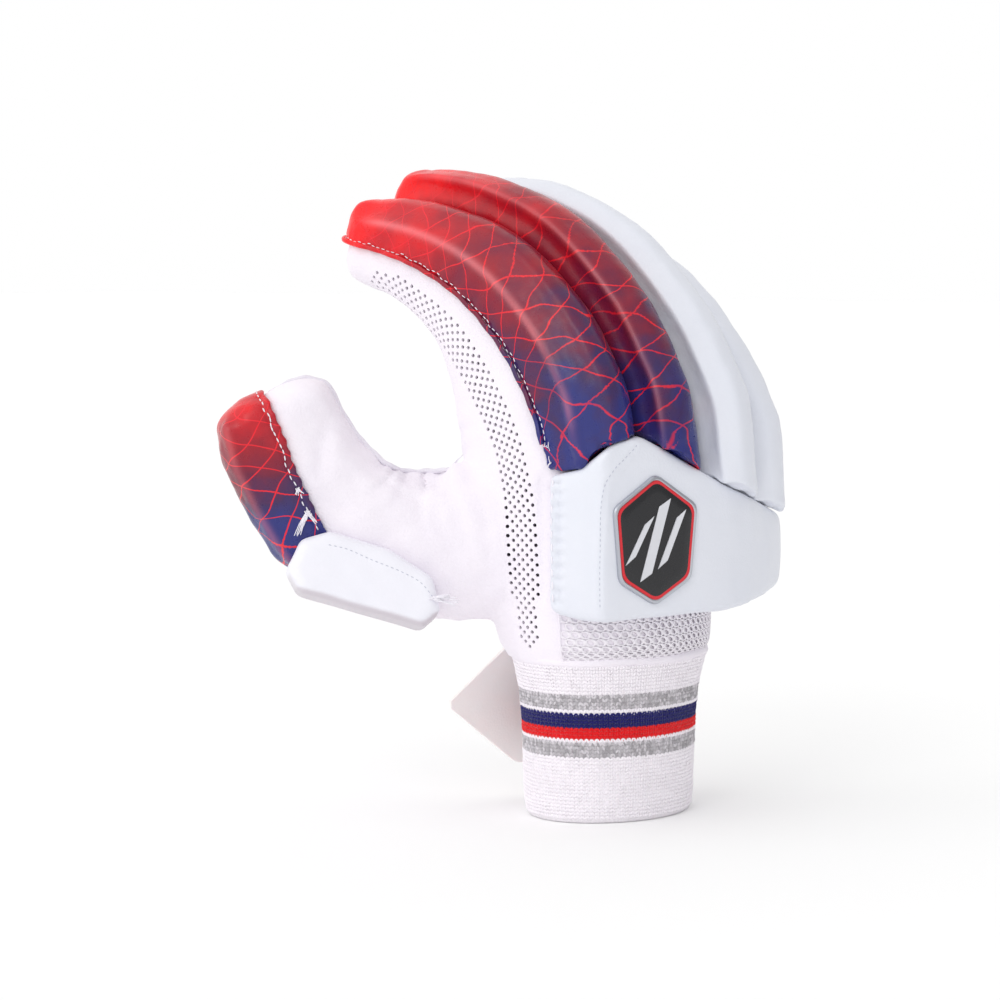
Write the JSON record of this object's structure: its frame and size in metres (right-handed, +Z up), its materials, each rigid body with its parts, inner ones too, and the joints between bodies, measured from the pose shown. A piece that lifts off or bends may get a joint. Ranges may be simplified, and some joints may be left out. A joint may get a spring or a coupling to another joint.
{
  "type": "cricket batting glove",
  "caption": "Right-hand batting glove with padded finger rolls, thumb guard, wrist pad, knitted cuff and closing strap, open for the hand.",
  "frame": {"origin": "middle of the glove's outline in plan, on the surface that the cuff stands on", "axes": "+Z up the hand from the cuff to the fingers, +X from the palm to the back of the hand, +Y from the index finger to the little finger"},
  "size_m": [0.1648, 0.174, 0.2502],
  "materials": {
    "white_leather": "soft matt white leather with fine grain and perforated gussets",
    "mesh_fabric": "coarse knitted air mesh with oval holes",
    "knit": "fine ribbed knit with grey, blue and red bands",
    "print_leather": "satin leather printed from red at the tips to navy at the roots, with fine red lines",
    "pad_leather": "smooth satin white leather over padding",
    "badge": "glossy moulded plaque with a silver rim",
    "strap": "thin pale coated leather"
  },
  "bodies": {
    "root": {"cuff": "knit", "palm": "white_leather", "back_mesh": "mesh_fabric", "index_sleeve": "white_leather", "index_roll": "print_leather", "middle_sleeve": "white_leather", "middle_roll": "print_leather", "ring_sleeve": "white_leather", "ring_roll": "pad_leather", "little_sleeve": "white_leather", "little_roll": "pad_leather", "thumb_sleeve": "white_leather", "thumb_tip_pad": "print_leather", "thumb_plate": "pad_leather", "wrist_pad": "pad_leather", "wrist_badge": "badge", "wrist_strap": "strap"}
  },
  "joints": []
}
